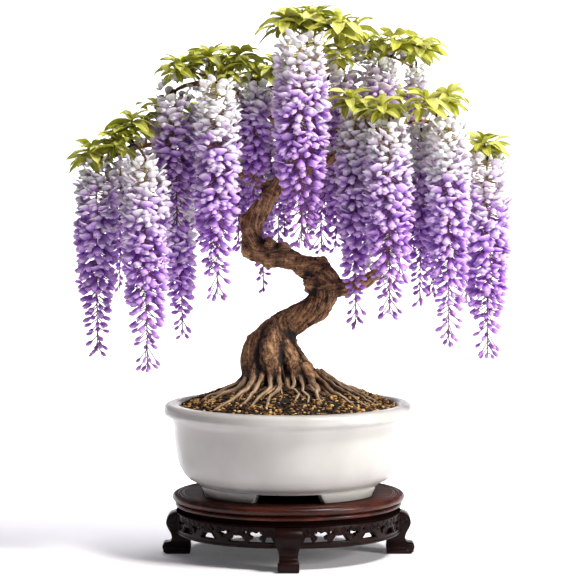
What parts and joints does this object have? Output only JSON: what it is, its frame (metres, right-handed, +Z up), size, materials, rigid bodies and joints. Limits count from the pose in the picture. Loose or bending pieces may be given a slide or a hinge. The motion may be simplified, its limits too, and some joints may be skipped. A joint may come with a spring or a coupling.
{
  "type": "flowering wisteria bonsai in a pot on a stand",
  "caption": "Wisteria bonsai with hanging flower racemes and a gnarled trunk, in a round glazed pot on a round pierced wooden stand.",
  "frame": {"origin": "on the surface that the stand rests on, under the middle of the stand", "axes": "+Z up, -Y the front of the tree, +X to the right of someone who looks at the front"},
  "size_m": [0.7309, 0.406, 0.8809],
  "materials": {
    "rosewood": "satin",
    "white_glaze": "gloss",
    "drain_mesh": "matte",
    "soil": "matte",
    "bark": "matte",
    "leaf": "satin",
    "petal": "matte"
  },
  "bodies": {
    "root": {"stand_top": "rosewood", "stand_waist": "rosewood", "stand_leg_1": "rosewood", "stand_leg_2": "rosewood", "stand_leg_3": "rosewood", "stand_leg_4": "rosewood", "stand_apron_1": "rosewood", "stand_apron_2": "rosewood", "stand_apron_3": "rosewood", "stand_apron_4": "rosewood", "pot": "white_glaze", "drain_screen": "drain_mesh", "tree_wood": "bark", "soil": "soil", "raceme_01": "petal", "raceme_02": "petal", "raceme_03": "petal", "raceme_04": "petal", "raceme_05": "petal", "raceme_06": "petal", "raceme_07": "petal", "raceme_08": "petal", "raceme_09": "petal", "raceme_10": "petal", "raceme_11": "petal", "raceme_12": "petal", "raceme_13": "petal", "raceme_14": "petal", "raceme_15": "petal", "raceme_16": "petal", "raceme_17": "petal", "raceme_18": "petal", "raceme_19": "petal", "raceme_20": "petal", "raceme_21": "petal", "raceme_22": "petal", "raceme_23": "petal", "raceme_24": "petal", "raceme_25": "petal", "raceme_26": "petal", "raceme_27": "petal", "raceme_28": "petal", "raceme_29": "petal", "raceme_30": "petal", "raceme_31": "petal", "raceme_32": "petal", "raceme_33": "petal", "raceme_34": "petal", "leaves_apex": "leaf", "leaves_top_right": "leaf", "leaves_left_high": "leaf", "leaves_left_edge": "leaf", "leaves_left": "leaf", "leaves_right": "leaf", "leaves_right_mid": "leaf", "leaves_right_edge": "leaf", "leaves_back_left": "leaf", "leaves_back": "leaf", "leaves_back_high": "leaf", "leaves_back_right": "leaf"}
  },
  "joints": []
}
